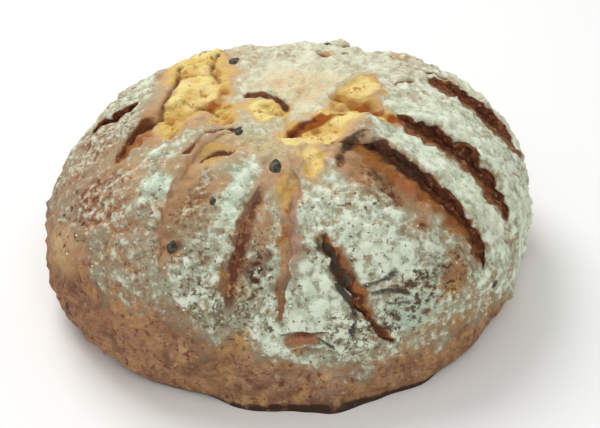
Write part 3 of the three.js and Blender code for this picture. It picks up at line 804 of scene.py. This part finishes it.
# Baked wheat crust, sifted with flour before baking: matt and dusty on top, speckled where the crust
# stretched under the flour, tan and brown where it is bare, and moist yellow crumb in the tears
# Shade is painted dark under the cuts' lips, in cracks, folds, pits, crumb hollows and at the foot, and
# highlights on the crumb's lumps
crustLook = {
    "bare": "#bb946e",
    # size in mm, detail, roughness
    "patterns": {
        "patch": (22, 3, 0.5), "mottle": (7, 4, 0.6), "speckle": (3, 3, 0.65), "fleck": (2.4, 2, 0.5),
        "grain": (1.2, 2, 0.6), "dust": (13, 5, 0.8), "grit": (5, 2, 0.5), "crackle": (7, 3, 0.6),
    },
    # colour, where it shows, the pattern that breaks it up, how strongly, from where to where it fades in
    "layers": [
        ("#d6b892", "cream", "patch", 1, 0.2, 0.9),
        ("#96704f", "bake", "mottle", 2.2, 0.4, 0.95),
        ("#a67a5b", "blush", "mottle", 1.8, 0.3, 0.8),
        ("#745440", "bake", "dust", 2.6, 0.65, 1.15),
        ("#b89a76", "bake", "fleck", 3.5, 1, 1.7),
        ("#bd9456", "bake", "dust", -5.5, 0.9, 1.6),
        ("#74493b", "bake", "speckle", -6, 0.95, 1.7),
        ("#8c643f", "browned", "dust", 2.4, 0.25, 0.9),
        # dark foot: partly burnt crust, partly painted contact shade; the underside keeps some as its baked
        # colour
        ("#413027", "baseEdge", "mottle", 2.4, 0.4, 0.9),
        ("#80502f", "cutBrown", "speckle", 2.6, 0.25, 0.9),
        ("#a0652c", "cutGold", "speckle", 4, 0.35, 1.1),
        ("#a0623e", "russet", "speckle", 3, 0.3, 1),
        ("#d0ab7c", "fringe", "dust", 2.6, 0.3, 0.9),
        ("#d0b083", "peach", "dust", 3.2, 0.25, 1),
        # mauve-grey, partly painted shade on the wall of the cut at bearing 270
        ("#a88a7c", "mauve", "speckle", 3.2, 0.25, 1),
        ("#c49c52", "golden", "dust", 3, 0.3, 1),
        ("#d9ba6e", "torn", "dust", 1.6, 0.1, 0.8),
        # painted shade in the crumb's hollows and painted highlight on its lumps
        ("#a8723a", "crumbHollowShade", "dust", 1.2, 0.2, 1),
        ("#ead98f", "crumbLumpHighlight", "mottle", 1.6, 0.2, 0.8),
        ("#e8d08c", "crumbPale", "dust", 2, 0.25, 0.75),
        ("#b98a40", "torn", "speckle", 5, 1.05, 1.7),
        ("#9a5316", "crumbBrown", "dust", 2, 0.25, 0.9),
        ("#613424", "overbaked", "dust", 5.5, 0.3, 0.9),
        # painted shade, partly burnt crust, under the cuts' lips, in cracks and in the blister's ring
        ("#613827", "shade", "dust", 2, 0.2, 0.8),
        ("#8a5232", "shade", "speckle", 5, 0.9, 1.5),
        ("#a98459", "cutBare", "fleck", 4, 1.25, 2),
        ("#524a3e", "scorch", "speckle", 4, 0.25, 1),
        ("#a8a98f", "flour", "dust", 3.8, 0.2, 0.8),
        ("#c8d2ba", "flour", "speckle", 6.5, 0.5, 1),
        ("#e2ebd6", "flour", "grit", 5, 0.5, 1.15),
        ("#e0dcc0", "creamyFlour", "dust", 3, 0.2, 1),
        ("#dde1c2", "evenFlour", "dust", 4, 0.35, 1.2),
        # mint flour, partly painted shade on the flour near bearing 300
        ("#b6c8b2", "mint", "dust", 2.5, 0.3, 1.1),
        ("#c8b98e", "beige", "speckle", 5, 0.4, 1.2),
        ("#a98668", "mottled", "dust", 4, 0.9, 1.7),
        ("#7d5743", "mottled", "speckle", -5, 0.95, 1.7),
        ("#cad0b9", "mottled", "speckle", 4, 0.85, 1.6),
        # darker in the low spots of the grit relief: partly bare crust between the flour, partly painted
        # shade
        ("#7d6a52", "pits", "grit", -5, 1.5, 2.4),
        ("#5a4636", "crazed", "speckle", -6, 0.85, 1.55),
        ("#7a664e", "specked", "fleck", -7, 1.6, 2.4),
        ("#6f664f", "flaked", "crackle", 1.4, 1, 1.5),
        # painted shade in the folds of the flour
        ("#4e4d44", "foldShade", "speckle", 1.5, 0.25, 0.7),
        ("#d9cba2", "creamFlour", "dust", 2, 0.2, 1),
        ("#d6b68e", "creamFlour", "mottle", 2.8, 0.65, 1.4),
    ],
    "crackle": 10,  # how fine the cracks are that run where that pattern crosses its middle
    "bump": {"dust": 1.2, "speckle": 0.6, "fleck": 0.4, "grain": 0.25},  # height in mm
    "finish": {"Roughness": 0.88, "IOR": 1.45, "Specular IOR Level": 0.2},
}


def makeCrustMaterial():
    material, tree = startMaterial("floured baked crust")
    where = addNode(tree, "ShaderNodeTexCoord", out="Object")
    shown = dict.fromkeys(row[1] for row in crustLook["layers"])
    at = {name: addNode(tree, "ShaderNodeAttribute", out="Fac", attribute_name=name) for name in shown}
    pattern = {}
    for name, (size, detail, roughness) in crustLook["patterns"].items():
        inputs = {"Vector": where, "Scale": 1 / (size * mm), "Detail": detail, "Roughness": roughness}
        pattern[name] = addNode(tree, "ShaderNodeTexNoise", inputs)
    away = addNode(tree, "ShaderNodeMath", {0: pattern["crackle"], 1: 0.5}, operation="SUBTRACT")
    away = addNode(tree, "ShaderNodeMath", {0: away}, operation="ABSOLUTE")
    inputs = {0: away, 1: -crustLook["crackle"], 2: 1.0}
    pattern["crackle"] = addNode(tree, "ShaderNodeMath", inputs, operation="MULTIPLY_ADD")
    color = linearColor(crustLook["bare"])
    for hexText, name, breaking, gain, low, high in crustLook["layers"]:
        inputs = {0: pattern[breaking], 1: gain, 2: 1 - gain / 2}
        broken = addNode(tree, "ShaderNodeMath", inputs, operation="MULTIPLY_ADD")
        amount = addNode(tree, "ShaderNodeMath", {0: at[name], 1: broken}, operation="MULTIPLY")
        inputs = {"Value": amount, "From Min": low, "From Max": high}
        share = addNode(tree, "ShaderNodeMapRange", inputs, interpolation_type="SMOOTHSTEP")
        inputs = {0: share, 6: color, 7: linearColor(hexText)}
        color = addNode(tree, "ShaderNodeMix", inputs, out=2, data_type="RGBA")
    height = 0.0
    for name, size in crustLook["bump"].items():
        inputs = {0: pattern[name], 1: size * mm, 2: height}
        height = addNode(tree, "ShaderNodeMath", inputs, operation="MULTIPLY_ADD")
    normal = addNode(tree, "ShaderNodeBump", {"Height": height, "Distance": 1.0, "Strength": 0.7})
    endMaterial(tree, {"Base Color": color, "Normal": normal, **crustLook["finish"]})
    return material


# Pumpkin seeds sunk in the crust: bearing, reach and turn of each, with their sizes in millimetres
seedSpread = {
    "places": [
        (245, 72, 80), (239, 93, 20), (232, 32, 60), (263, 52, 85), (143, 68, 10), (124, 46, 50),
        (206, 94, 35), (212, 146, 90), (326, 132, 70), (45, 92, 25), (76, 62, 80), (108, 118, 45),
        (160, 114, 15), (14, 140, 65),
    ],
    "sizes": {"Length": 8, "Width": 5, "Thickness": 4, "Sunk": 1.35},
    "taper": 0.25, "levelOver": 3.0,  # a seed lies level over the crust this far to each side
    "look": ("#332e29", "#6e6858", 2.4),  # skin, dust on it, size of the markings in mm
    "finish": {"Roughness": 0.6, "IOR": 1.45, "Specular IOR Level": 0.3},
}


# A seed is a flattened drop, laid on the crust at each point and pushed in
def makeSeedTree(material):
    tree = startTree("sunken seeds", seedSpread["sizes"])
    size = {name: addNode(tree, "NodeGroupInput", out=name) for name in seedSpread["sizes"]}
    ball = addNode(tree, "GeometryNodeMeshUVSphere", {"Segments": 16, "Rings": 10, "Radius": 0.5})
    place = addNode(tree, "GeometryNodeInputPosition")
    along = addNode(tree, "ShaderNodeSeparateXYZ", {0: place}, out="X")
    inputs = {0: along, 1: -2 * seedSpread["taper"], 2: 1.0}
    narrow = addNode(tree, "ShaderNodeMath", inputs, operation="MULTIPLY_ADD")
    width = addNode(tree, "ShaderNodeMath", {0: narrow, 1: size["Width"]}, operation="MULTIPLY")
    scale = addNode(tree, "ShaderNodeCombineXYZ", {"X": size["Length"], "Y": width, "Z": size["Thickness"]})
    drop = addNode(tree, "ShaderNodeVectorMath", {0: place, 1: scale}, operation="MULTIPLY")
    sunk = addNode(tree, "ShaderNodeMath", {0: size["Sunk"], 1: -1.0}, operation="MULTIPLY")
    inward = addNode(tree, "ShaderNodeCombineXYZ", {"Z": sunk})
    seed = addNode(tree, "GeometryNodeSetPosition", {"Geometry": ball, "Position": drop, "Offset": inward})
    seed = addNode(tree, "GeometryNodeSetShadeSmooth", {"Geometry": seed})
    outward = addNode(tree, "GeometryNodeInputNamedAttribute", {"Name": "outward"}, data_type="FLOAT_VECTOR")
    turn = addNode(tree, "GeometryNodeInputNamedAttribute", {"Name": "turn"}, data_type="FLOAT")
    upright = addNode(tree, "FunctionNodeAlignRotationToVector", {"Vector": outward}, axis="Z")
    spin = addNode(tree, "ShaderNodeCombineXYZ", {"Z": turn})
    inputs = {"Rotation": upright, "Rotate By": spin}
    facing = addNode(tree, "FunctionNodeRotateRotation", inputs, rotation_space="LOCAL")
    points = addNode(tree, "NodeGroupInput", out="Geometry")
    inputs = {"Points": points, "Instance": seed, "Rotation": facing}
    return endTree(tree, addNode(tree, "GeometryNodeInstanceOnPoints", inputs), material)


# Toasted pumpkin seed: a dry dark skin with a faint waxy shine, mottled paler where it is scuffed
def makeSeedMaterial():
    material, tree = startMaterial("toasted pumpkin seed")
    dark, pale, size = seedSpread["look"]
    where = addNode(tree, "ShaderNodeTexCoord", out="Object")
    marks = addNode(tree, "ShaderNodeTexNoise", {"Vector": where, "Scale": 1 / (size * mm), "Detail": 3.0})
    share = addNode(tree, "ShaderNodeMapRange", {"Value": marks, "From Min": 0.4, "From Max": 0.7})
    inputs = {0: share, 6: linearColor(dark), 7: linearColor(pale)}
    color = addNode(tree, "ShaderNodeMix", inputs, out=2, data_type="RGBA")
    normal = addNode(tree, "ShaderNodeBump", {"Height": marks, "Distance": 0.3 * mm, "Strength": 0.6})
    endMaterial(tree, {"Base Color": color, "Normal": normal, **seedSpread["finish"]})
    return material


def makeSeeds(centre):
    bearing, reach, turn = np.array(seedSpread["places"], dtype=float).T
    bearing = np.radians(bearing)
    turn = np.radians(turn).astype(np.float32)
    mesh = bpy.data.meshes.new("seeds")
    mesh.from_pydata(((crustPlace(bearing, reach) - centre) * mm).tolist(), [], [])
    outward = outwardOf(crustPlace, bearing, reach, seedSpread["levelOver"]).astype(np.float32)
    mesh.attributes.new("outward", "FLOAT_VECTOR", "POINT").data.foreach_set("vector", outward.ravel())
    mesh.attributes.new("turn", "FLOAT", "POINT").data.foreach_set("value", turn)
    seeds = addToScene("pumpkin_seeds", mesh)
    settleTree(seeds, makeSeedTree(makeSeedMaterial()), seedSpread["sizes"])
    return seeds


# Clumps of flour that caught on the crust, clear of what it stands on: sizes in millimetres, how many
# lie on a square centimetre at most, and how strongly they crowd where the flour is thick
flourClumps = {
    "sizes": {"Smallest": 0.2, "Largest": 0.6, "Above base": 3},
    "perSquareCm": 14, "crowding": 4.0, "seed": 7,
    "look": ("#d8dbc4", "#f0f2e2", 1.5),  # shaded, bright, size of the markings in mm
    "finish": {"Roughness": 0.95, "IOR": 1.45, "Specular IOR Level": 0.1},
}


def makeClumpTree(material):
    tree = startTree("flour clumps", flourClumps["sizes"])
    size = {name: addNode(tree, "NodeGroupInput", out=name) for name in flourClumps["sizes"]}
    crust = addNode(tree, "NodeGroupInput", out="Geometry")
    flour = addNode(tree, "GeometryNodeInputNamedAttribute", {"Name": "flour"}, data_type="FLOAT")
    thick = addNode(tree, "ShaderNodeMath", {0: flour, 1: flourClumps["crowding"]}, operation="POWER")
    place = addNode(tree, "GeometryNodeInputPosition")
    height = addNode(tree, "ShaderNodeSeparateXYZ", {0: place}, out="Z")
    inputs = {0: height, 1: size["Above base"]}
    clear = addNode(tree, "ShaderNodeMath", inputs, operation="GREATER_THAN")
    thick = addNode(tree, "ShaderNodeMath", {0: thick, 1: clear}, operation="MULTIPLY")
    perSquareMetre = flourClumps["perSquareCm"] * 100 ** 2
    density = addNode(tree, "ShaderNodeMath", {0: thick, 1: perSquareMetre}, operation="MULTIPLY")
    inputs = {"Mesh": crust, "Density": density, "Seed": flourClumps["seed"]}
    points = addNode(tree, "GeometryNodeDistributePointsOnFaces", inputs, out="Points")
    clump = addNode(tree, "GeometryNodeMeshIcoSphere", {"Radius": 1.0, "Subdivisions": 1})
    clump = addNode(tree, "GeometryNodeSetShadeSmooth", {"Geometry": clump})
    inputs = {2: size["Smallest"], 3: size["Largest"], "Seed": flourClumps["seed"]}
    scale = addNode(tree, "FunctionNodeRandomValue", inputs, out=1, data_type="FLOAT")
    inputs = {"Points": points, "Instance": clump, "Scale": scale}
    return endTree(tree, addNode(tree, "GeometryNodeInstanceOnPoints", inputs), material)


# Sifted wheat flour: soft white lumps, fully matt, with a faint cream cast
def makeFlourMaterial():
    material, tree = startMaterial("sifted wheat flour")
    dark, pale, size = flourClumps["look"]
    where = addNode(tree, "ShaderNodeTexCoord", out="Object")
    marks = addNode(tree, "ShaderNodeTexNoise", {"Vector": where, "Scale": 1 / (size * mm), "Detail": 2.0})
    inputs = {0: marks, 6: linearColor(dark), 7: linearColor(pale)}
    color = addNode(tree, "ShaderNodeMix", inputs, out=2, data_type="RGBA")
    endMaterial(tree, {"Base Color": color, **flourClumps["finish"]})
    return material


def makeClumps(loaf):
    clumps = addToScene("flour_clumps", loaf.data.copy())
    settleTree(clumps, makeClumpTree(makeFlourMaterial()), flourClumps["sizes"])
    return clumps


# The camera looks along +Y from above, as the photograph does
cameraSetup = {
    "elevation": 36, "distance": 700, "aim": (3.5, -3.4, 35.3), "lens": 91.6, "sensor": 36, "clipStart": 10,
}


def makeCamera():
    elevation = math.radians(cameraSetup["elevation"])
    back = Vector((0, -math.cos(elevation), math.sin(elevation)))
    data = bpy.data.cameras.new("camera")
    data.sensor_width = cameraSetup["sensor"]
    data.lens = cameraSetup["lens"]
    data.clip_start = cameraSetup["clipStart"] * mm
    camera = addToScene("camera", data)
    camera.location = (Vector(cameraSetup["aim"]) + back * cameraSetup["distance"]) * mm
    camera.rotation_euler = (-back).to_track_quat("-Z", "Y").to_euler()
    bpy.context.scene.camera = camera


studio = {
    "lights": [  # name, place, size, power
        ("key", (-350, 420, 900), 600, 6.2),
        ("fill", (150, -900, 800), 900, 3.4),
    ],
    "lightAim": (0, 0, 40), "sky": 0.5, "floor": "#fafaf8", "floorHalf": 3000,
}


def makeLights():
    for name, place, size, power in studio["lights"]:
        data = bpy.data.lights.new(name, "AREA")
        data.shape = "DISK"
        data.size = size * mm
        data.energy = power
        light = addToScene(name, data)
        light.location = Vector(place) * mm
        towards = Vector(studio["lightAim"]) - Vector(place)
        light.rotation_euler = towards.to_track_quat("-Z", "Y").to_euler()
    world = bpy.data.worlds.new("studio")
    world.use_nodes = True
    sky = world.node_tree.nodes["Background"].inputs
    sky["Color"].default_value = (1, 1, 1, 1)
    sky["Strength"].default_value = studio["sky"]
    bpy.context.scene.world = world
    bpy.context.scene.view_settings.view_transform = "Standard"


# White paper: matt and even, so that only the loaf's soft shadow shows
def makeFloor():
    half = studio["floorHalf"] * mm
    corners = [(-half, -half, 0), (half, -half, 0), (half, half, 0), (-half, half, 0)]
    mesh = bpy.data.meshes.new("floor")
    mesh.from_pydata(corners, [], [(0, 1, 2, 3)])
    floor = addToScene("floor", mesh)
    material, tree = startMaterial("white paper sweep")
    endMaterial(tree, {"Base Color": linearColor(studio["floor"]), "Roughness": 0.9})
    mesh.materials.append(material)
    floor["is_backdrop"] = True


makeCamera()
makeLights()
makeFloor()
print("stage: camera,", len(studio["lights"]), "lights and floor")
loaf, loafCentre = makeLoaf()
settleTree(loaf, makeReliefTree(makeCrustMaterial()), crustRelief)
seeds = makeSeeds(loafCentre)
clumps = makeClumps(loaf)
for piece in (loaf, seeds, clumps):
    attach(piece, "root")
    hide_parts("loaf")

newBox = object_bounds()
sizes = [[round(v, 4) for v in box[1] - box[0]] for box in (newBox, cadBox)]
print("size:", sizes[0], "against", sizes[1])
